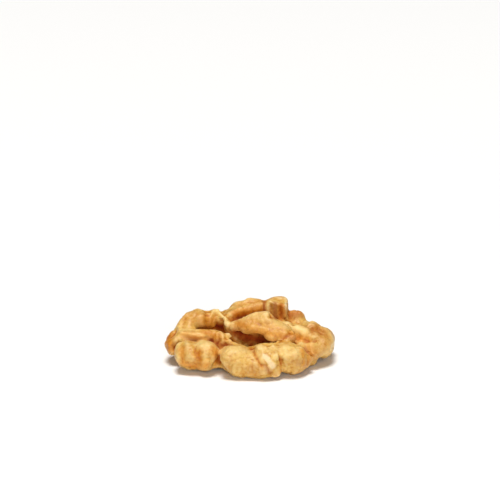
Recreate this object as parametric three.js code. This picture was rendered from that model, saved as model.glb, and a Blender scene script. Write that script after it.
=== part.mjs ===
// Half a walnut kernel, out of its shell, lying on its rounded outer side with the folded inner side up.
// It grew as one piece, so it is one solid: a shallow dome of flesh with folds fused to it.
// Millimetres. +X runs along the kernel's length, -Y is the near lobe, +Z is up.
import * as THREE from 'three';
import { ImprovedNoise } from 'three/addons/math/ImprovedNoise.js';

// Driving dimensions of the finished kernel.
const LENGTH = 31;
const WIDTH = 22.5;
const HEIGHT = 9.6;

// How finely the skin is drawn, and how far folds run into each other and into the dome.
const CELL = 0.68;
const CREASE = 0.4;
const ROOT = 1.4;
const SMOOTHING_PASSES = 3;
const EVENING = 0.5;
const SLOPE_STEP = CELL / 8;
const FAINT = 0.02;

// The dome of flesh under the folds: the lower part of an ellipsoid, cut off at its top.
const DOME_CENTRE = new THREE.Vector3(0, 0.4, 5.2);
const DOME_RADII = new THREE.Vector3(14.2, 10.6, 5.7);
const DOME_TOP = 3.4;

// Each fold is a rounded ridge that follows a smooth line through points of [x, y, z, radius].
const FOLDS = {
  // near lobe, from left to right
  nearLeftKnobOuter: [[-11.3, -4.2, 3.1, 2.5], [-10.9, -5.2, 3.0, 2.6]],
  nearLeftKnobInner: [[-8.7, -4.4, 3.2, 2.6], [-8.5, -5.7, 3.1, 2.8]],
  nearMiddleKnob: [[-3.2, -5.6, 2.9, 2.6], [-2.6, -7.4, 3.0, 3.0]],
  nearMiddleFoot: [[-2.4, -8.2, 2.3, 2.2], [-0.4, -8.4, 2.2, 2.2], [2.2, -8.6, 1.8, 1.8]],
  nearPleatLeft: [[0.2, -7.4, 4.2, 1.0], [1.3, -9.0, 3.6, 1.1], [2.3, -9.6, 2.0, 1.0]],
  nearPleatRight: [[1.8, -6.6, 4.6, 1.0], [3.1, -8.7, 4.1, 1.1], [4.4, -9.2, 1.6, 1.3]],
  nearInner: [[-2.6, -4.3, 3.0, 1.9], [1.4, -5.0, 3.1, 1.9], [5.4, -4.3, 3.1, 2.0]],
  nearRightKnob: [[5.6, -6.2, 3.2, 2.2], [6.7, -7.0, 2.8, 2.7], [8.1, -5.7, 2.9, 2.7]],

  // right end, where the two lobes meet
  rightCheek: [[9.9, -2.4, 2.8, 2.5], [12.2, -0.8, 3.0, 2.7], [12.6, 2.4, 3.2, 2.5]],
  rightSausage: [[6.6, 1.6, 6.0, 1.0], [8.4, 0.6, 5.6, 1.2], [10.2, -0.2, 5.0, 1.3]],
  rightCrest: [[10.2, 3.6, 5.0, 1.4], [11.0, 2.2, 5.4, 1.2], [13.2, 1.2, 4.3, 1.3]],

  // the bridge that joins the two lobes over the cleft: a crest, a lower lip and a root behind
  bridgeCrest: [
    [-4.0, 1.2, 6.4, 0.7],
    [-0.8, 1.0, 7.4, 0.8],
    [2.0, 0.6, 8.9, 0.7],
    [4.4, -0.2, 7.3, 0.9],
    [6.8, -1.4, 5.9, 1.0],
  ],
  bridgeLip: [[-3.2, 0.4, 6.2, 0.8], [0.5, -1.0, 6.6, 1.1], [3.5, -1.8, 6.1, 1.3], [6.6, -2.6, 5.0, 1.5]],
  bridgeFace: [[-1.0, 0.4, 6.8, 0.9], [2.2, -0.4, 7.2, 1.3], [5.2, -1.4, 6.0, 1.3]],
  bridgeRoot: [[-1.5, 3.0, 4.8, 1.7], [3.0, 2.2, 5.6, 1.9], [6.4, 1.6, 4.4, 1.8]],

  // far lobe: an outer band, a ridge on it that ends in a snapped stump, and a tip beyond
  farBand: [
    [-9.8, 6.4, 3.4, 2.6],
    [-5.0, 8.0, 3.8, 3.0],
    [0.0, 8.8, 4.0, 3.0],
    [5.0, 8.4, 3.6, 2.9],
    [9.8, 6.0, 2.8, 2.4],
  ],
  farInner: [[-3.4, 4.4, 4.6, 1.6], [1.5, 4.8, 5.2, 1.6], [6.0, 4.4, 4.4, 1.6], [9.0, 3.4, 3.6, 1.6]],
  farRidge: [[-5.8, 5.0, 5.0, 1.6], [-3.6, 6.2, 6.2, 1.8], [-0.8, 7.2, 7.5, 1.9], [1.4, 7.4, 7.8, 1.8]],
  farTip: [[7.2, 7.4, 4.8, 1.4], [8.1, 7.8, 5.9, 1.3], [8.8, 8.0, 6.1, 1.2]],

  // left end: a cheek, and a rim, a sill and a thin wall round a hollow
  leftCheek: [[-12.9, -1.4, 3.1, 2.2], [-13.3, 1.2, 3.4, 2.1]],
  leftRimOuter: [[-12.5, 1.2, 4.7, 1.7], [-11.4, 2.8, 6.0, 1.5]],
  leftRimKnob: [[-10.6, 3.6, 6.6, 1.7], [-9.4, 4.3, 6.8, 1.8]],
  leftRim: [[-8.0, 4.6, 6.5, 1.5], [-6.2, 4.6, 7.1, 1.1]],
  leftRimRoot: [[-11.6, 3.6, 4.2, 2.1], [-8.0, 5.6, 4.6, 2.1], [-5.4, 5.4, 4.9, 1.7]],
  leftSill: [
    [-12.0, 0.4, 4.9, 1.5],
    [-9.8, -0.8, 5.1, 1.3],
    [-6.8, -0.7, 5.3, 1.2],
    [-4.8, -1.2, 4.8, 0.9],
  ],
  leftWall: [[-6.3, 4.6, 7.6, 0.6], [-4.7, 2.9, 7.0, 0.6], [-3.7, 1.0, 6.2, 0.6]],
  leftWallRoot: [[-5.6, 4.7, 6.0, 1.2], [-4.5, 3.1, 5.9, 1.0], [-3.2, 1.6, 5.2, 1.2]],
  membraneNear: [[-5.8, -1.8, 5.6, 0.55], [-4.2, -2.8, 5.0, 0.55], [-2.4, -4.2, 4.7, 0.55]],
  membraneFar: [[-4.2, -1.0, 5.5, 0.55], [-2.8, -2.0, 5.2, 0.55], [-1.2, -3.4, 4.6, 0.55]],
  membraneRoot: [[-5.6, -2.2, 4.1, 1.2], [-4.0, -2.8, 3.9, 1.2], [-2.2, -3.6, 3.4, 1.2]],
};
const FOLD_STEPS = 8;

// The stump that the far ridge ends in: a block with flat faces where the rest has snapped off.
const STUMP_CENTRE = new THREE.Vector3(4.5, 7.0, 6.8);
const STUMP_HALF = new THREE.Vector3(2.3, 1.9, 2.7);
const STUMP_EDGE = 0.5;

// Each cleft is cut out along a line of the same kind.
const CLEFTS = {
  underBridge: [[-2.4, -1.2, 4.4, 1.1], [0.8, -1.5, 4.2, 1.6], [4.2, -2.8, 3.9, 1.2]],
  leftHollow: [[-8.2, 1.8, 6.1, 1.0], [-6.2, 2.2, 5.4, 1.4]],
  sillGroove: [
    [-13.6, -3.2, 3.4, 0.5],
    [-12.4, -2.7, 4.9, 0.5],
    [-9.8, -2.7, 5.5, 0.6],
    [-7.2, -2.9, 5.3, 0.7],
  ],
  nearNotch: [[-5.7, -4.2, 4.6, 0.7], [-5.8, -8.2, 1.6, 1.1]],
  pleatMiddle: [[0.9, -7.0, 5.5, 0.4], [2.3, -9.6, 4.7, 0.5], [3.5, -10.5, 2.0, 0.7]],
  pleatRight: [[3.4, -6.2, 5.8, 0.5], [4.6, -8.3, 5.0, 0.6], [5.3, -9.6, 2.6, 0.7]],
  rightGroove: [[7.6, -2.2, 5.4, 0.6], [9.4, -1.9, 5.0, 0.6], [11.4, -2.4, 4.8, 0.5]],
  nearRightGroove: [[9.2, -4.6, 5.0, 0.6], [10.6, -5.2, 2.4, 0.6]],
  ridgeGap: [[2.4, 5.0, 7.4, 0.5], [2.5, 6.6, 9.4, 0.5], [2.5, 10.0, 9.4, 0.5]],
  stumpGroove: [[4.4, 4.9, 5.4, 0.6], [4.5, 5.0, 8.0, 0.6], [4.5, 5.1, 8.8, 0.4]],
};

// Shallow dimples all over.
const DIMPLE_WAVE = 3.4;
const DIMPLE_DEPTH = 0.6;
const DIMPLE_SHIFT = new THREE.Vector3(7.3, 2.9, 5.1);

// Winding creases on the rounded outer side. They fade out over these stretches of z and y.
const WINDING_WAVE = 8.5;
const WINDING_DEPTH = 1.0;
const WINDING_SHARPNESS = 0.5;
const WINDING_PHASE = 1.3;
const WARP_WAVE = 6;
const WARP_ANGLE = 1.6;
const UNDERSIDE_Z = [1, 3];
const NEAR_SIDE_Y = [-6, -3];
const FAR_SIDE_Y = [7, 9];

const noise = new ImprovedNoise();

// A fold as a chain of tapered segments along its smooth line.
function chainOf(points) {
  const line = new THREE.CatmullRomCurve3(points.map(([x, y, z]) => new THREE.Vector3(x, y, z)));
  const radii = points.map((point) => point[3]);
  const steps = FOLD_STEPS * (points.length - 1);
  const beads = [];
  for (let i = 0; i <= steps; i++) {
    const along = (i / steps) * (points.length - 1);
    const before = Math.min(Math.floor(along), points.length - 2);
    const radius = THREE.MathUtils.lerp(radii[before], radii[before + 1], along - before);
    beads.push({ centre: line.getPoint(i / steps), radius });
  }
  return beads;
}
const folds = Object.values(FOLDS).map(chainOf);
const clefts = Object.values(CLEFTS).map(chainOf);

// Distance from a point to the skin of one chain, negative inside.
function chainDistance(p, beads) {
  let nearest = Infinity;
  for (let i = 1; i < beads.length; i++) {
    const { centre: a, radius: ra } = beads[i - 1];
    const { centre: b, radius: rb } = beads[i];
    const ux = b.x - a.x;
    const uy = b.y - a.y;
    const uz = b.z - a.z;
    const vx = p.x - a.x;
    const vy = p.y - a.y;
    const vz = p.z - a.z;
    const t = THREE.MathUtils.clamp((ux * vx + uy * vy + uz * vz) / (ux * ux + uy * uy + uz * uz), 0, 1);
    const gap = Math.hypot(vx - t * ux, vy - t * uy, vz - t * uz) - THREE.MathUtils.lerp(ra, rb, t);
    nearest = Math.min(nearest, gap);
  }
  return nearest;
}

// The lesser of two distances, rounded where they meet over a width.
function softMin(a, b, width) {
  const near = Math.max(width - Math.abs(a - b), 0) / width;
  return Math.min(a, b) - (near * near * width) / 4;
}

function stumpDistance(p) {
  const q = p.clone().sub(STUMP_CENTRE);
  q.set(Math.abs(q.x), Math.abs(q.y), Math.abs(q.z)).sub(STUMP_HALF).addScalar(STUMP_EDGE);
  const within = Math.min(Math.max(q.x, q.y, q.z), 0);
  return q.clampScalar(0, LENGTH).length() + within - STUMP_EDGE;
}

function domeDistance(p) {
  const q = p.clone().sub(DOME_CENTRE).divide(DOME_RADII);
  const ellipsoid = (q.length() - 1) * DOME_RADII.z;
  return -softMin(-ellipsoid, DOME_TOP - p.z, ROOT);
}

// Noise between -1 and 1 that changes over a wave's length.
const ripple = (p, wave) => noise.noise(p.x / wave, p.y / wave, p.z / wave);

// Creases that wind over the outer side like those of a brain: the lines where a warped gyroid is zero.
// They fade out on the near and inner sides, where the folds themselves make the relief.
function winding(p) {
  const turn = (2 * Math.PI) / WINDING_WAVE;
  const warp = WARP_ANGLE * ripple(p, WARP_WAVE);
  const x = p.x * turn + warp;
  const y = p.y * turn - warp;
  const z = p.z * turn + WINDING_PHASE;
  const gyroid = Math.sin(x) * Math.cos(y) + Math.sin(y) * Math.cos(z) + Math.sin(z) * Math.cos(x);
  const low = 1 - THREE.MathUtils.smoothstep(p.z, ...UNDERSIDE_Z);
  const under = low * THREE.MathUtils.smoothstep(p.y, ...NEAR_SIDE_Y);
  const behind = THREE.MathUtils.smoothstep(p.y, ...FAR_SIDE_Y);
  return WINDING_DEPTH * Math.exp(-((gyroid / WINDING_SHARPNESS) ** 2)) * Math.max(under, behind);
}

// Dimples deepen where the noise is above zero and swell where it is below.
function dimple(p) {
  return DIMPLE_DEPTH * ripple(p.clone().addScaledVector(DIMPLE_SHIFT, DIMPLE_WAVE), DIMPLE_WAVE);
}

// Distance to the nearest of several chains, softened where they meet.
function chainsDistance(p, chains) {
  return chains.map((beads) => chainDistance(p, beads)).reduce((a, b) => softMin(a, b, CREASE));
}

function kernelField(p) {
  const ridges = softMin(chainsDistance(p, folds), stumpDistance(p), CREASE);
  const flesh = softMin(ridges, domeDistance(p), ROOT) + winding(p);
  const carved = -softMin(-flesh, chainsDistance(p, clefts), CREASE);
  return carved + dimple(p);
}

// The skin of a field, sampled on a grid of cubic cells. Each loop that the skin cuts through a cell's
// edges gets one vertex, and each grid edge that the skin cuts gets one quad, so the skin is closed.
const STEPS = [[1, 0, 0], [0, 1, 0], [0, 0, 1]];
const CORNERS = 8;
const EDGE_NUMBERS = 3 * CORNERS;

// A cell's corners are numbered by their bits, and an edge by its axis and its lower corner.
const edgeNumber = (axis, corner) => axis * CORNERS + corner;

// The four corners round a face of a cell, and the edge from each corner to the next.
function faceRing(axis, side) {
  const u = 1 << ((axis + 1) % 3);
  const v = 1 << ((axis + 2) % 3);
  const base = side << axis;
  const corners = [base, base + u, base + u + v, base + v];
  const alongU = (axis + 1) % 3;
  const alongV = (axis + 2) % 3;
  const edges = [
    edgeNumber(alongU, base),
    edgeNumber(alongV, base + u),
    edgeNumber(alongU, base + v),
    edgeNumber(alongV, base),
  ];
  return { corners, edges };
}
const FACES = [0, 1, 2].flatMap((axis) => [faceRing(axis, 0), faceRing(axis, 1)]);

// The loops of cut edges in one cell, given which of its eight corners lie inside.
function cutLoops(inside) {
  const links = new Map();
  const link = (a, b) => {
    links.set(a, [...(links.get(a) ?? []), b]);
    links.set(b, [...(links.get(b) ?? []), a]);
  };
  for (const { corners, edges } of FACES) {
    const cut = edges.filter((edge, i) => inside[corners[i]] !== inside[corners[(i + 1) % 4]]);
    if (cut.length === 2) link(cut[0], cut[1]);
    if (cut.length === 4)
      corners.forEach((corner, i) => {
        if (inside[corner]) link(edges[(i + 3) % 4], edges[i]);
      });
  }
  const loops = [];
  const seen = new Set();
  for (const first of links.keys()) {
    if (seen.has(first)) continue;
    const loop = [];
    const open = [first];
    while (open.length) {
      const edge = open.pop();
      if (seen.has(edge)) continue;
      seen.add(edge);
      loop.push(edge);
      open.push(...links.get(edge));
    }
    loops.push(loop);
  }
  return loops;
}

// Which grid nodes can be walked to from a first one, node by node, without leaving its side of the skin.
function walk(values, first, strides) {
  const inside = values[first] < 0;
  const reached = new Uint8Array(values.length);
  const open = [first];
  reached[first] = 1;
  while (open.length) {
    const node = open.pop();
    for (const stride of strides)
      for (const next of [node - stride, node + stride]) {
        if (next < 0 || next >= values.length || reached[next] || values[next] < 0 !== inside) continue;
        reached[next] = 1;
        open.push(next);
      }
  }
  return reached;
}

// Fills sealed bubbles and drops loose scraps, so that one closed body is left.
function settle(values, strides) {
  const outside = walk(values, 0, strides);
  values.forEach((value, node) => {
    if (value >= 0 && !outside[node]) values[node] = -FAINT;
  });
  const deepest = values.reduce((best, value, node) => (value < values[best] ? node : best), 0);
  const body = walk(values, deepest, strides);
  values.forEach((value, node) => {
    if (value < 0 && !body[node]) values[node] = FAINT;
  });
}

function skinOf(field, low, high, cell) {
  const [nx, ny, nz] = high.clone().sub(low).divideScalar(cell).ceil().addScalar(1).toArray();
  const at = (i, j, k) => (k * ny + j) * nx + i;
  const place = (i, j, k) => new THREE.Vector3(i, j, k).multiplyScalar(cell).add(low);
  const eachNode = (limit, visit) => {
    for (let k = limit; k < nz - 1; k++)
      for (let j = limit; j < ny - 1; j++)
        for (let i = limit; i < nx - 1; i++) visit(i, j, k);
  };
  const values = new Float64Array(nx * ny * nz).fill(1);
  eachNode(1, (i, j, k) => {
    values[at(i, j, k)] = field(place(i, j, k));
  });
  settle(values, [1, nx, nx * ny]);

  const vertices = [];
  const vertexAt = new Map();
  eachNode(0, (i, j, k) => {
    const corner = (c) => [i + (c & 1), j + ((c >> 1) & 1), k + ((c >> 2) & 1)];
    const corners = Array.from({ length: CORNERS }, (_, c) => corner(c));
    const heights = corners.map((node) => values[at(...node)]);
    for (const loop of cutLoops(heights.map((height) => height < 0))) {
      const mean = new THREE.Vector3();
      for (const edge of loop) {
        const a = edge % CORNERS;
        const b = a + (1 << Math.floor(edge / CORNERS));
        mean.add(place(...corners[a]).lerp(place(...corners[b]), heights[a] / (heights[a] - heights[b])));
        vertexAt.set(at(i, j, k) * EDGE_NUMBERS + edge, vertices.length);
      }
      vertices.push(mean.divideScalar(loop.length));
    }
  });

  const quads = [];
  eachNode(0, (i, j, k) => {
    STEPS.forEach((step, axis) => {
      const inside = values[at(i, j, k)] < 0;
      if (inside === values[at(i + step[0], j + step[1], k + step[2])] < 0) return;
      const u = (axis + 1) % 3;
      const v = (axis + 2) % 3;
      const ring = [[0, 0], [1, 0], [1, 1], [0, 1]].map(([m, n]) => {
        const back = STEPS[u].map((stepU, d) => m * stepU + n * STEPS[v][d]);
        const edge = edgeNumber(axis, (m << u) + (n << v));
        return vertexAt.get(at(i - back[0], j - back[1], k - back[2]) * EDGE_NUMBERS + edge);
      });
      quads.push(inside ? ring : ring.reverse());
    });
  });
  return { vertices, quads };
}

// Moves each vertex part of the way to the mean of its neighbours.
function evenOut({ vertices, quads }) {
  const neighbours = vertices.map(() => new Set());
  for (const ring of quads)
    ring.forEach((a, i) => {
      const b = ring[(i + 1) % 4];
      neighbours[a].add(b);
      neighbours[b].add(a);
    });
  const means = neighbours.map((set) => {
    const mean = new THREE.Vector3();
    for (const n of set) mean.add(vertices[n]);
    return mean.divideScalar(set.size);
  });
  vertices.forEach((p, i) => p.lerp(means[i], EVENING));
}

// Draws each vertex back on to the skin along the field's slope.
function drawBack({ vertices }, field) {
  for (const p of vertices) {
    const value = field(p);
    const slope = new THREE.Vector3(
      field(p.clone().setX(p.x + SLOPE_STEP)) - value,
      field(p.clone().setY(p.y + SLOPE_STEP)) - value,
      field(p.clone().setZ(p.z + SLOPE_STEP)) - value,
    ).divideScalar(SLOPE_STEP);
    const shift = THREE.MathUtils.clamp(value / slope.lengthSq(), -CELL / 2, CELL / 2);
    p.addScaledVector(slope, -shift);
  }
}

// The skin as triangles, each quad split along its shorter diagonal.
function geometryOf({ vertices, quads }) {
  const index = [];
  for (const [a, b, c, d] of quads) {
    const acrossAC = vertices[a].distanceToSquared(vertices[c]);
    const acrossBD = vertices[b].distanceToSquared(vertices[d]);
    if (acrossAC < acrossBD) index.push(a, b, c, a, c, d);
    else index.push(a, b, d, b, c, d);
  }
  return new THREE.BufferGeometry().setFromPoints(vertices).setIndex(index);
}

// Brings a geometry to the driving dimensions, with the origin under the middle of its box.
function fitted(geometry) {
  geometry.computeBoundingBox();
  const size = geometry.boundingBox.getSize(new THREE.Vector3());
  const middle = geometry.boundingBox.getCenter(new THREE.Vector3());
  geometry.translate(-middle.x, -middle.y, -geometry.boundingBox.min.z);
  return geometry.scale(LENGTH / size.x, WIDTH / size.y, HEIGHT / size.z);
}

// The whole kernel: its skin, evened out, with the lowest part pressed flat where it rests.
function kernelGeometry() {
  const margin = 2 * CELL;
  const low = new THREE.Vector3(-LENGTH / 2 - margin, -WIDTH / 2 - margin, -margin);
  const high = new THREE.Vector3(LENGTH / 2 + margin, WIDTH / 2 + margin, HEIGHT + margin);
  const skin = skinOf(kernelField, low, high, CELL);
  for (let pass = 0; pass < SMOOTHING_PASSES; pass++) {
    evenOut(skin);
    drawBack(skin, kernelField);
  }
  evenOut(skin);
  for (const p of skin.vertices) p.z = Math.max(p.z, 0);
  return fitted(geometryOf(skin));
}

const kernelSkin = new THREE.MeshStandardMaterial({ color: 0xe2b166, roughness: 0.5, metalness: 0 });

const kernel = new THREE.Mesh(kernelGeometry(), kernelSkin);
kernel.name = 'kernel_half';

const part = new THREE.Group();
part.add(kernel);

export default part;
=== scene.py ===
# Half a walnut kernel lying on a pale table with its folded inner side up.
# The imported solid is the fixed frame: it gives the kernel its size, its place and its main folds.
import math

import bmesh
import bpy
import numpy as np
from mathutils import Matrix, Vector
from mathutils.bvhtree import BVHTree


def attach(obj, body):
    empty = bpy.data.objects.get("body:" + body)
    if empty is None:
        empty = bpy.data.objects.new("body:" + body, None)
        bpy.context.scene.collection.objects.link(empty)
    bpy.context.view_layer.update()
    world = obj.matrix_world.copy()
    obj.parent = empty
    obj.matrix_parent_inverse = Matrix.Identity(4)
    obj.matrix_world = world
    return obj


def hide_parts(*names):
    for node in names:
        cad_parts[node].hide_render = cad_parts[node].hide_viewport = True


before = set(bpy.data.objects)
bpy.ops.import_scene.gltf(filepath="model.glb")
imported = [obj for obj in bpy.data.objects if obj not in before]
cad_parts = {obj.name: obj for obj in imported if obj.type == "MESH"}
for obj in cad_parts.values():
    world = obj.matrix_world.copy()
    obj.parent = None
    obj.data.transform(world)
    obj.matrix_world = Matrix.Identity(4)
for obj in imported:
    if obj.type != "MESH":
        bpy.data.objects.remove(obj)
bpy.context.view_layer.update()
scene = bpy.context.scene

# The camera looks down on the kernel from its near side. It comes first, because the marks on the skin
# are laid where it sees them. The kernel's origin falls on one pixel of the square picture, and a length
# there is drawn at so many pixels for each metre.
PICTURE_SIDE = 500
ORIGIN_PIXEL = (250.1, 360.2)
PIXELS_PER_METRE = 5500
VIEW_DISTANCE = 0.55
VIEW_ELEVATION = math.radians(20)
SENSOR_WIDTH = 36

focal_pixels = PIXELS_PER_METRE * VIEW_DISTANCE
drop = math.atan((ORIGIN_PIXEL[1] - PICTURE_SIDE / 2) / focal_pixels)
lens = bpy.data.cameras.new("camera")
lens.sensor_width = SENSOR_WIDTH
lens.lens = focal_pixels / PICTURE_SIDE * SENSOR_WIDTH
camera = bpy.data.objects.new("camera", lens)
camera.location = (
    (PICTURE_SIDE / 2 - ORIGIN_PIXEL[0]) / PIXELS_PER_METRE,
    -VIEW_DISTANCE * math.cos(VIEW_ELEVATION),
    VIEW_DISTANCE * math.sin(VIEW_ELEVATION),
)
camera.rotation_euler = (math.pi / 2 - VIEW_ELEVATION + drop, 0, 0)
scene.collection.objects.link(camera)
scene.camera = camera

# The kernel's flesh: dense, oily seed tissue that grew in folds, all in one piece.
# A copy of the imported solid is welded, rounded off and drawn again as a fine even net of points.
# It is shaped in millimetres, and the finished kernel is brought to metres at the end.
MILLIMETRE = 0.001
NET_SPACING = 0.165
WELD_REACH = 0.001

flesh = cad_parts["kernel_half"].data.copy()
flesh.transform(Matrix.Scale(1 / MILLIMETRE, 4))
welding = bmesh.new()
welding.from_mesh(flesh)
bmesh.ops.remove_doubles(welding, verts=welding.verts, dist=WELD_REACH)
welding.to_mesh(flesh)
welding.free()
flesh.materials.clear()

kernel = bpy.data.objects.new("kernel", flesh)
scene.collection.objects.link(kernel)
rounding = kernel.modifiers.new("rounding", "SUBSURF")
rounding.levels = rounding.render_levels = 1
net = kernel.modifiers.new("net", "REMESH")
net.mode = "VOXEL"
net.voxel_size = NET_SPACING


def settled(piece):
    """Applies a piece's modifiers and gives its plain mesh."""
    mesh = bpy.data.meshes.new_from_object(piece.evaluated_get(bpy.context.evaluated_depsgraph_get()))
    piece.modifiers.clear()
    piece.data = mesh
    return mesh


flesh = settled(kernel)

# Marks on the folds: grooves and ridges left by growth, drying and cracking, chips where the bare flesh
# shows,
# and painted light: painted highlights in lighter straw on the lit tops, amber that is partly the skin's
# own tone and partly painted shade, and brown painted shade in creases, recesses and on faces turned from
# the light. Each is a stroke through pixels of the picture, with its half width in millimetres, and its
# height in millimetres or its strength.
STROKE_STEP_PIXELS = 1.5

GROOVES = {
    "near left knob, left": ([(181, 345), (182, 352), (183, 360)], 1.2, 0.3),
    "near left knob, middle": ([(198, 352), (199, 358), (197.5, 364)], 1.3, 0.4),
    "near left knob, top": ([(194, 341), (196, 348)], 1.0, 0.2),
    "near middle knob": ([(233, 358), (232, 367)], 1.6, 0.2),
    "pleat, left": ([(251, 345), (253, 351), (257, 358), (261, 365)], 0.8, 0.35),
    "near right knob": ([(291, 350), (292.5, 358), (291, 367)], 1.6, 0.22),
    "near right knob, end": ([(306, 346), (308.5, 354), (308, 363)], 1.2, 0.2),
    "left cheek": ([(175, 331), (171.5, 338.5), (173, 347)], 1.2, 0.3),
    "left rim": ([(182, 326), (185.5, 318), (189, 315)], 1.2, 0.3),
    "left rim, notch": ([(207, 310), (206, 316), (204, 320)], 1.0, 0.4),
    "membranes, first": ([(219, 334.5), (218.5, 342)], 0.7, 0.2),
    "membranes, second": ([(226, 338), (225.5, 344)], 0.6, 0.2),
    "membranes, third": ([(231.5, 340), (232, 344.5)], 0.6, 0.2),
    "stump": ([(270.5, 305), (271, 317)], 0.6, 0.4),
    "bridge, end": ([(289, 325), (289.5, 334)], 0.8, 0.15),
    "right sausage, behind": ([(286, 318.5), (293.5, 324)], 0.8, 0.3),
    "right cheek": ([(321, 334), (318, 342), (316, 351)], 1.4, 0.25),
    "right cheek, root": ([(311, 331), (309, 338), (306, 342)], 1.2, 0.35),
}
RIDGES = {
    "left hollow": ([(203, 321), (212, 323)], 2.0, 0.9),
    "pleat, left": ([(259, 348.5), (263.5, 355.5), (267, 363), (269, 367.5)], 1.0, 0.4),
    "pleat, right": ([(273, 347), (276, 354), (278, 363), (278.5, 367)], 1.0, 0.4),
    "membrane, first": ([(221, 332), (223, 337), (224.5, 341)], 0.6, 0.15),
    "membrane, second": ([(227, 334.5), (229.5, 340.5)], 0.6, 0.15),
    "membrane, third": ([(233, 336), (238.5, 341)], 0.6, 0.15),
    "sill, under": ([(182, 333.5), (192, 335), (202, 336.5)], 0.9, 0.4),
    "thin wall": ([(216, 308.5), (220, 313.5), (224.5, 318.5), (227.5, 325)], 0.6, 0.3),
    "bridge crest, left": ([(231.5, 324), (243, 317.5), (259.5, 311.5)], 0.7, 0.15),
    "bridge crest, right": ([(263.5, 311.5), (270.5, 317.5), (280.5, 322.5), (288, 327.5)], 0.7, 0.15),
    "bridge face, upper": ([(244, 322), (254, 318), (262, 317), (273, 324), (284, 330)], 2.2, 0.4),
    "bridge face, lower": ([(252, 327), (268, 331), (282, 336)], 1.6, 0.25),
    "bridge, right foot": ([(268, 337), (277, 340.5), (286, 341.5)], 1.2, 0.5),
    "far ridge, front": ([(230, 316), (240, 311.5), (250, 309.5), (262, 307.5)], 1.4, 0.6),
    "right valley, left": ([(291, 337), (296, 339)], 1.1, 0.45),
    "right valley, right": ([(304, 339), (310, 340)], 1.3, 0.55),
    "right cheek, top": ([(310, 326), (313, 326)], 1.0, 0.5),
}
# Painted highlights: lighter straw laid on the lit tops of the folds and on lit edges, where the light
# falls.
PAINTED_HIGHLIGHTS = {
    "near left knob": ([(199, 342), (206, 345)], 1.8, 0.7),
    "near middle knob": ([(222, 351), (235, 349), (247, 350)], 2.2, 0.5),
    "pleat, left": ([(257, 351), (262, 361)], 0.8, 0.6),
    "pleat, top": ([(262, 349), (271, 349), (279, 350)], 1.2, 0.5),
    "near right knob": ([(283, 349), (289, 352), (298, 350)], 1.8, 0.7),
    "sill": ([(182, 329), (192, 329), (199, 330)], 1.0, 0.5),
    "sill, lower": ([(184, 335), (194, 337), (206, 339)], 1.3, 0.7),
    "thin wall": ([(216, 309), (221, 315), (226, 322)], 0.6, 0.6),
    "bridge": ([(246, 319), (256, 316), (262, 320), (266, 325)], 1.8, 0.4),
    "bridge, right": ([(276, 325), (284, 328)], 1.4, 0.5),
    "far ridge": ([(236, 304), (246, 299), (258, 298)], 1.6, 0.6),
    "stump, left": ([(268, 302), (268, 310)], 0.8, 0.6),
    "far tip": ([(290, 311), (299, 310)], 0.7, 0.5),
    "right sausage": ([(294, 328), (300, 330), (305, 332)], 1.6, 0.9),
    "right valley": ([(298, 340), (306, 343), (311, 348)], 1.6, 0.6),
    "right cheek, top": ([(309, 322), (312, 323)], 1.0, 0.6),
    "right cheek, edge": ([(331, 336), (334, 341), (329, 350), (319, 358)], 1.4, 0.6),
}
# Amber: partly the skin's own tone, partly painted shade on faces turned from the light and under
# overhangs.
AMBER_SKIN_AND_SHADE = {
    "near left knob, left": ([(181, 348), (183, 360)], 1.2, 0.6),
    "near left knob": ([(198.5, 353), (198.5, 361)], 1.5, 0.8),
    "near left knob, right": ([(214, 351), (217, 360)], 1.6, 0.8),
    "near left knob, foot": ([(184, 363), (194, 367), (206, 365)], 1.6, 0.8),
    "pleat, left": ([(251, 345), (257, 357), (263, 368)], 0.55, 0.6),
    "near right knob, left": ([(278, 360), (279, 372)], 0.8, 0.5),
    "near right knob, right": ([(303, 351), (304, 364)], 1.2, 0.7),
    "left cheek": ([(171, 331), (168, 337), (168, 346)], 2.4, 1.0),
    "left rim": ([(184, 318), (192, 316), (200, 317)], 2.4, 0.4),
    "left hollow": ([(204, 320), (214, 323), (221, 327)], 2.2, 0.9),
    "sill": ([(203, 331), (217, 336)], 1.6, 0.7),
    "sill, lower": ([(184, 335), (194, 337), (206, 339)], 1.3, 0.6),
    "membranes": ([(222, 338), (234, 342)], 1.4, 0.4),
    "bridge, under": ([(236, 331), (248, 337), (262, 341)], 1.7, 0.9),
    "bridge, underside": ([(240, 325), (258, 331), (285, 337)], 1.5, 0.7),
    "bridge face": ([(252, 323), (268, 327), (284, 333)], 1.8, 0.4),
    "far ridge": ([(236, 315), (248, 311.5), (260, 309)], 1.5, 1.0),
    "far ridge, top": ([(238, 305), (250, 302), (262, 301)], 1.6, 0.4),
    "stump": ([(281, 305), (281, 311), (281, 318)], 1.2, 1.0),
    "far tip": ([(289, 314), (299, 312)], 1.6, 0.7),
    "right valley": ([(291, 335), (298, 338), (306, 340)], 1.6, 0.9),
    "right wall": ([(309, 346), (312, 354), (309, 362)], 1.8, 0.6),
    "right cheek": ([(315, 330), (322, 334), (327, 340)], 2.6, 0.4),
}
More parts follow.
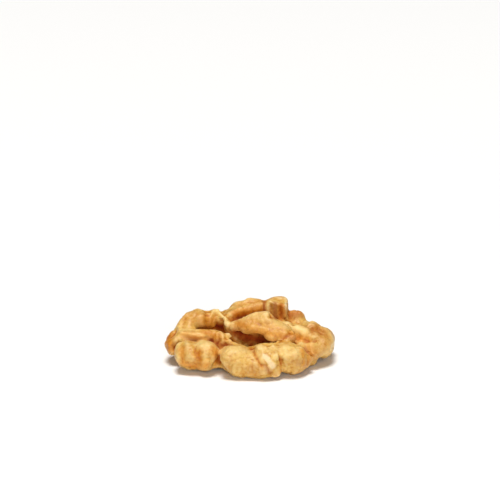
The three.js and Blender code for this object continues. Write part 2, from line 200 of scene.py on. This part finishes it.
# Brown painted shade, laid in the deepest recesses and gaps and under the bridge, where little light
# reaches.
BROWN_PAINTED_SHADE = {
    "pleat, foot": ([(265, 366), (270, 373)], 0.8, 0.6),
    "left cheek": ([(168, 334), (168, 346)], 2.2, 0.2),
    "left hollow": ([(217, 324), (222, 327)], 1.2, 1.0),
    "left rim": ([(184, 318), (192, 314), (200, 315)], 2.4, 0.15),
    "membranes, foot": ([(211, 341), (222, 345), (232, 345)], 0.9, 0.8),
    "bridge, under": ([(236, 331), (248, 337), (262, 341)], 1.7, 0.85),
    "far ridge": ([(236, 315), (248, 311.5), (260, 309)], 1.4, 0.2),
    "stump, left": ([(264, 303), (265, 312)], 0.8, 0.8),
    "stump": ([(275, 303), (275, 318)], 0.9, 0.75),
    "stump, right": ([(281, 305), (281.5, 317)], 1.0, 0.6),
    "far tip": ([(290, 315), (300, 314)], 1.6, 0.5),
    "right valley": ([(290, 337), (298, 339)], 1.2, 0.4),
    "right cheek": ([(315, 330), (322, 334), (325, 342), (319, 350)], 2.8, 0.28),
}
BARE = {
    "pleat": ([(265, 357), (269.5, 361), (273, 366)], 1.1, 1.0),
    "stump, top": ([(267, 298), (284, 298)], 1.2, 0.5),
    "stump, edge": ([(285.5, 298), (285.5, 308)], 0.6, 0.8),
    "right cheek, edge": ([(333, 337), (335, 342), (331, 349)], 0.9, 0.8),
}

eye = camera.location / MILLIMETRE
aim = camera.rotation_euler.to_matrix()
flesh_faces = BVHTree.FromObject(kernel, bpy.context.evaluated_depsgraph_get())
places = np.array([point.co for point in flesh.vertices])
facings = np.array([point.normal for point in flesh.vertices])


def seen(pixel):
    """The place on the flesh that shows at a pixel, and which way it faces, or none beside the kernel."""
    across = (pixel.x - PICTURE_SIDE / 2) / focal_pixels
    down = (pixel.y - PICTURE_SIDE / 2) / focal_pixels
    return flesh_faces.ray_cast(eye, aim @ Vector((across, -down, -1)))[:2]


def nearness(pixels, half_width):
    """One on a stroke, falling smoothly to none at its half width, for each point of the net."""
    near = np.zeros(len(places))
    for start, end in zip(map(Vector, pixels), map(Vector, pixels[1:])):
        steps = math.ceil((end - start).length / STROKE_STEP_PIXELS)
        for place, facing in [seen(start.lerp(end, i / steps)) for i in range(steps + 1)]:
            if place:
                gaps = np.linalg.norm(places - np.array(place), axis=1)
                near = np.maximum(near, (1 - gaps / half_width) * (facings @ np.array(facing) > 0))
    return near * near * (3 - 2 * near)


def laid(strokes):
    """The strongest of some strokes at each point of the net."""
    each = [strength * nearness(pixels, half_width) for pixels, half_width, strength in strokes.values()]
    return np.max(each, axis=0)


relief = laid(RIDGES) - laid(GROOVES)
# Painted highlights, amber and brown painted shade and bare chips are kept on the flesh for its colours.
for colour_mark, strokes in {"painted_highlight": PAINTED_HIGHLIGHTS, "amber_skin_and_shade": AMBER_SKIN_AND_SHADE, "brown_shade": BROWN_PAINTED_SHADE, "bare": BARE}.items():
    flesh.attributes.new(colour_mark, "FLOAT", "POINT").data.foreach_set("value", laid(strokes))
flesh.vertices.foreach_set("co", (places + facings * relief[:, None]).ravel())
flesh.update()

# The kernel's skin: a papery seed coat that dried tight over the flesh and is fused to it.
# It puffs up between winding creases and is finely wrinkled all over.
SWELLING_SPACING = 4.2
SWELLING_HEIGHT = 0.45
SWELLING_MIDDLE = 0.25
WRINKLE_SPACING = 1.0
WRINKLE_HEIGHT = 0.085
SMOOTHING_PASSES = 4
SHARPENING_PASSES = 25
SHARPENING = 0.55
SHARPENING_LIMIT = 0.35
CREASE_PASSES = 14
HOLLOW_PASSES = 120

skin = bpy.data.node_groups.new("kernel_skin", "GeometryNodeTree")
skin.interface.new_socket("Geometry", in_out="INPUT", socket_type="NodeSocketGeometry")
skin.interface.new_socket("Geometry", in_out="OUTPUT", socket_type="NodeSocketGeometry")
skin_sizes = {
    "Swellings per millimetre": 1 / SWELLING_SPACING,
    "Swelling height": SWELLING_HEIGHT,
    "Wrinkles per millimetre": 1 / WRINKLE_SPACING,
    "Wrinkle height": WRINKLE_HEIGHT,
    "Sharpening": -SHARPENING,
}
for name in skin_sizes:
    skin.interface.new_socket(name, in_out="INPUT", socket_type="NodeSocketFloat")


def add(tree, kind, sockets=None, output=None, **settings):
    """Adds a node with its settings, fills its sockets with values or links, and gives an output."""
    node = tree.nodes.new(kind)
    for name, value in settings.items():
        setattr(node, name, value)
    for name, value in (sockets or {}).items():
        socket = next(s for s in node.inputs if s.enabled and name in (s.name, s.identifier))
        if isinstance(value, bpy.types.NodeSocket):
            tree.links.new(value, socket)
        else:
            socket.default_value = value
    return next(s for s in node.outputs if s.enabled and output in (None, s.name))


given = skin.nodes.new("NodeGroupInput").outputs
position = add(skin, "GeometryNodeInputPosition")
normal = add(skin, "GeometryNodeInputNormal")


def evened(passes):
    """Each point's place, drawn towards its neighbours, further with more passes."""
    wanted = {"Value": position, "Iterations": passes}
    return add(skin, "GeometryNodeBlurAttribute", wanted, data_type="FLOAT_VECTOR")


def sunk(passes):
    """How far each point lies below its surroundings: above zero in creases, below it on ridges."""
    ends = {"Vector": evened(passes), "Vector_001": position}
    rise = add(skin, "ShaderNodeVectorMath", ends, operation="SUBTRACT")
    along = {"Vector": rise, "Vector_001": normal}
    return add(skin, "ShaderNodeVectorMath", along, operation="DOT_PRODUCT", output="Value")


def raised(coat, share, height):
    """The coat with each point moved outwards by its share of a height."""
    outward = add(skin, "ShaderNodeVectorMath", {"Vector": normal, "Scale": share}, operation="SCALE")
    outward = add(skin, "ShaderNodeVectorMath", {"Vector": outward, "Scale": height}, operation="SCALE")
    return add(skin, "GeometryNodeSetPosition", {"Geometry": coat, "Offset": outward})


def noted(coat, name, value):
    """The coat with a value kept at each point, for its colours."""
    wanted = {"Geometry": coat, "Name": name, "Value": value}
    return add(skin, "GeometryNodeStoreNamedAttribute", wanted, data_type="FLOAT", domain="POINT")


smooth = {"Geometry": given["Geometry"], "Position": evened(SMOOTHING_PASSES)}
coat = add(skin, "GeometryNodeSetPosition", smooth)
limited = {"Value": sunk(SHARPENING_PASSES), "Min": -SHARPENING_LIMIT, "Max": SHARPENING_LIMIT}
coat = raised(coat, add(skin, "ShaderNodeClamp", limited), given["Sharpening"])
puffs = {"Vector": position, "Scale": given["Swellings per millimetre"], "Detail": 1.0, "Distortion": 0.5}
puffs = add(skin, "ShaderNodeTexNoise", puffs, normalize=False)
puffs = add(skin, "ShaderNodeMath", {"Value": puffs}, operation="ABSOLUTE")
puffs = add(skin, "ShaderNodeMath", {"Value": puffs, "Value_001": SWELLING_MIDDLE}, operation="SUBTRACT")
coat = raised(coat, puffs, given["Swelling height"])
wrinkles = {"Vector": position, "Scale": given["Wrinkles per millimetre"], "Detail": 2.0, "Distortion": 1.2}
wrinkles = add(skin, "ShaderNodeTexNoise", wrinkles, normalize=False)
coat = raised(coat, wrinkles, given["Wrinkle height"])
coat = noted(coat, "crease", sunk(CREASE_PASSES))
coat = noted(coat, "hollow", sunk(HOLLOW_PASSES))
coat = add(skin, "GeometryNodeSetShadeSmooth", {"Geometry": coat})
coat = add(skin, "GeometryNodeRealizeInstances", {"Geometry": coat})
pellicle = bpy.data.materials.new("dried_walnut_pellicle")
coat = add(skin, "GeometryNodeSetMaterial", {"Geometry": coat, "Material": pellicle})
skin.links.new(coat, skin.nodes.new("NodeGroupOutput").inputs["Geometry"])

dressing = kernel.modifiers.new("skin", "NODES")
dressing.node_group = skin
identifiers = {item.name: item.identifier for item in skin.interface.items_tree if item.in_out == "INPUT"}
for name, size in skin_sizes.items():
    dressing[identifiers[name]] = size
kernel_mesh = settled(kernel)

# No fold reaches below the surface that the kernel lies on.
for point in kernel_mesh.vertices:
    point.co.z = max(point.co.z, 0)
kernel_mesh.transform(Matrix.Scale(MILLIMETRE, 4))

# The skin's finish: dried walnut pellicle, a thin tannin-stained film with a slight waxy gloss. It is straw
# to honey coloured and mottled, with faint veins. Over that lies painted light: lighter straw on its
# ridges, partly the skin's own bleaching and partly painted highlight, painted highlights on the lit tops,
# darker tints in its creases and hollows, partly its own deeper tone and partly painted shade, amber that
# is partly its own tone and partly painted shade, and brown painted shade in the deepest recesses. Its
# gloss is dull where it lies deep or under the brown painted shade.
STRAW = "#e2ba63"
HONEY = "#cf963e"
SPECK_TINT = "#ecd4ae"
VEIN_TINT = "#f0e2d7"
# Tints of painted light: lighter straw for ridges and painted highlights, darker tints for painted shade in
# creases, hollows and shaded faces, there partly the skin's own deeper tone too.
RIDGE_HIGHLIGHT_STRAW = "#efce8b"
CREASE_SHADE_TINT = "#d9ae64"
HOLLOW_SHADE_TINT = "#ecc07a"
DEEP_HOLLOW_SHADE_TINT = "#bb9870"
HIGHLIGHT_STRAW = "#f1cf86"
AMBER_SHADE_TINT = "#f2bf56"
BROWN_SHADE_TINT = "#b0621a"
BARE_FLESH = "#efd09c"
MOTTLE_SPACING = 3.5
VEIN_SPACING = 4.0
VEIN_BEND_SPACING = 2.5
VEIN_BEND = 3.0
WAXY_ROUGHNESS = 0.4
DULL_ROUGHNESS = 0.95
GLOW_DEPTH = 1.0

# The real specks, tears and grain are finer. They are drawn as coarse as they need to be to show.
SPECK_SPACING = 0.6
TEAR_SPACING = 0.8
GRAIN_SPACING = 0.5
GRAIN_HEIGHT = 0.16


def linear(hex_colour):
    """An sRGB hex colour as linear red, green, blue and alpha."""
    channels = [int(hex_colour[i : i + 2], 16) / 255 for i in (1, 3, 5)]
    return [c / 12.92 if c <= 0.04045 else ((c + 0.055) / 1.055) ** 2.4 for c in channels] + [1]


pellicle.use_nodes = True
paint = pellicle.node_tree
place = add(paint, "ShaderNodeTexCoord", output="Object")
crease, hollow, painted_highlight, amber_skin_and_shade, brown_shade, bare = [
    add(paint, "ShaderNodeAttribute", output="Fac", attribute_name=name)
    for name in ("crease", "hollow", "painted_highlight", "amber_skin_and_shade", "brown_shade", "bare")
]


def tinted(colour, tint, value, none_at, all_at, blend="MULTIPLY"):
    """A colour with a tint over it, from none of it at one value to all of it at another."""
    share = add(paint, "ShaderNodeMapRange", {"Value": value, "From Min": none_at, "From Max": all_at})
    colours = {"Factor": share, "A": colour, "B": linear(tint)}
    return add(paint, "ShaderNodeMix", colours, data_type="RGBA", blend_type=blend)


mottle = {"Vector": place, "Scale": 1 / (MOTTLE_SPACING * MILLIMETRE), "Detail": 3.0}
mottle = add(paint, "ShaderNodeTexNoise", mottle)
specks = {"Vector": place, "Scale": 1 / (SPECK_SPACING * MILLIMETRE), "Detail": 6.0}
specks = add(paint, "ShaderNodeTexNoise", specks)
bend = {"Vector": place, "Scale": 1 / (VEIN_BEND_SPACING * MILLIMETRE)}
bend = add(paint, "ShaderNodeTexNoise", bend, output="Color")
bend = {"Vector": bend, "Scale": VEIN_BEND * MILLIMETRE}
bend = add(paint, "ShaderNodeVectorMath", bend, operation="SCALE")
bent = add(paint, "ShaderNodeVectorMath", {"Vector": place, "Vector_001": bend}, operation="ADD")
veins = {"Vector": bent, "Scale": 1 / (VEIN_SPACING * MILLIMETRE)}
veins = add(paint, "ShaderNodeTexVoronoi", veins, feature="DISTANCE_TO_EDGE", output="Distance")
tears = {"Vector": place, "Scale": 1 / (TEAR_SPACING * MILLIMETRE), "Detail": 4.0}
tears = add(paint, "ShaderNodeTexNoise", tears)
tears = add(paint, "ShaderNodeMath", {"Value": bare, "Value_001": tears}, operation="ADD")

colour = tinted(linear(STRAW), HONEY, mottle, none_at=0.35, all_at=0.65, blend="MIX")
colour = tinted(colour, SPECK_TINT, specks, none_at=0.45, all_at=0.7)
colour = tinted(colour, VEIN_TINT, veins, none_at=0.06, all_at=0.0)
# Ridges lighter, creases and hollows darker: partly the skin's own tone, partly painted highlight and
# shade.
colour = tinted(colour, RIDGE_HIGHLIGHT_STRAW, crease, none_at=0.0, all_at=-0.2, blend="MIX")
colour = tinted(colour, CREASE_SHADE_TINT, crease, none_at=0.015, all_at=0.115)
colour = tinted(colour, HOLLOW_SHADE_TINT, hollow, none_at=0.15, all_at=0.7)
colour = tinted(colour, DEEP_HOLLOW_SHADE_TINT, hollow, none_at=0.6, all_at=1.2)
# Painted highlights, then amber that is partly painted shade, then brown painted shade, laid by the
# strokes.
colour = tinted(colour, HIGHLIGHT_STRAW, painted_highlight, none_at=0.0, all_at=1.0, blend="MIX")
colour = tinted(colour, AMBER_SHADE_TINT, amber_skin_and_shade, none_at=0.0, all_at=1.0)
colour = tinted(colour, BROWN_SHADE_TINT, brown_shade, none_at=0.0, all_at=1.0)
colour = tinted(colour, BARE_FLESH, tears, none_at=0.85, all_at=1.3, blend="MIX")

grain = {"Vector": place, "Scale": 1 / (GRAIN_SPACING * MILLIMETRE), "Detail": 5.0}
grain = {"Height": add(paint, "ShaderNodeTexNoise", grain), "Distance": GRAIN_HEIGHT * MILLIMETRE}
shader = paint.nodes["Principled BSDF"]
paint.links.new(colour, shader.inputs["Base Color"])
paint.links.new(add(paint, "ShaderNodeBump", grain), shader.inputs["Normal"])
# The gloss dulls where the flesh lies deep and where the brown painted shade lies.
dark = add(paint, "ShaderNodeMath", {"Value": hollow, "Value_001": brown_shade}, operation="ADD")
dulled = {"Value": dark, "From Min": 0.2, "From Max": 0.8}
dulled |= {"To Min": WAXY_ROUGHNESS, "To Max": DULL_ROUGHNESS}
paint.links.new(add(paint, "ShaderNodeMapRange", dulled), shader.inputs["Roughness"])
shader.inputs["Specular IOR Level"].default_value = 0.32
shader.inputs["IOR"].default_value = 1.47
shader.inputs["Subsurface Weight"].default_value = 0.15
shader.inputs["Subsurface Radius"].default_value = (0.8, 0.5, 0.25)
shader.inputs["Subsurface Scale"].default_value = GLOW_DEPTH * MILLIMETRE

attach(kernel, "root")
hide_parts("kernel_half")

# The table: a board with a pressed matt laminate top, so wide that its edges lie outside the picture.
# The laminate scatters light evenly, so it gives the eye a plain white with soft shadows and no glints.
TABLE_WIDTH = 3.0
TABLE_WHITE = "#f7f6f4"
TABLE_ROUGHNESS = 0.9

bpy.ops.mesh.primitive_plane_add(size=TABLE_WIDTH)
table = bpy.context.object
table.name = "table"
laminate = bpy.data.materials.new("matt_white_laminate")
laminate.use_nodes = True
laminate.node_tree.nodes["Principled BSDF"].inputs["Base Color"].default_value = linear(TABLE_WHITE)
laminate.node_tree.nodes["Principled BSDF"].inputs["Roughness"].default_value = TABLE_ROUGHNESS
table.data.materials.append(laminate)

# The light: a large softbox almost straight above, which throws short soft shadows, a weaker one low in
# front, which opens the shadows on the near side, and a dim white room all round.
SOFTBOXES = {
    "high": {"at": (-0.1, -0.1, 2.2), "size": 0.9, "power": 48},
    "low": {"at": (0.2, -1.8, 0.6), "size": 1.0, "power": 16},
}
ROOM_WHITE = "#ffffff"
ROOM_BRIGHTNESS = 0.09

for name, softbox in SOFTBOXES.items():
    light = bpy.data.lights.new(name, "AREA")
    light.size = softbox["size"]
    light.energy = softbox["power"]
    holder = bpy.data.objects.new(name, light)
    holder.location = softbox["at"]
    holder.rotation_euler = (-holder.location).to_track_quat("-Z", "Y").to_euler()
    scene.collection.objects.link(holder)

room = bpy.data.worlds.new("white_room")
room.use_nodes = True
room.node_tree.nodes["Background"].inputs["Color"].default_value = linear(ROOM_WHITE)
room.node_tree.nodes["Background"].inputs["Strength"].default_value = ROOM_BRIGHTNESS
scene.world = room
scene.view_settings.view_transform = "Standard"
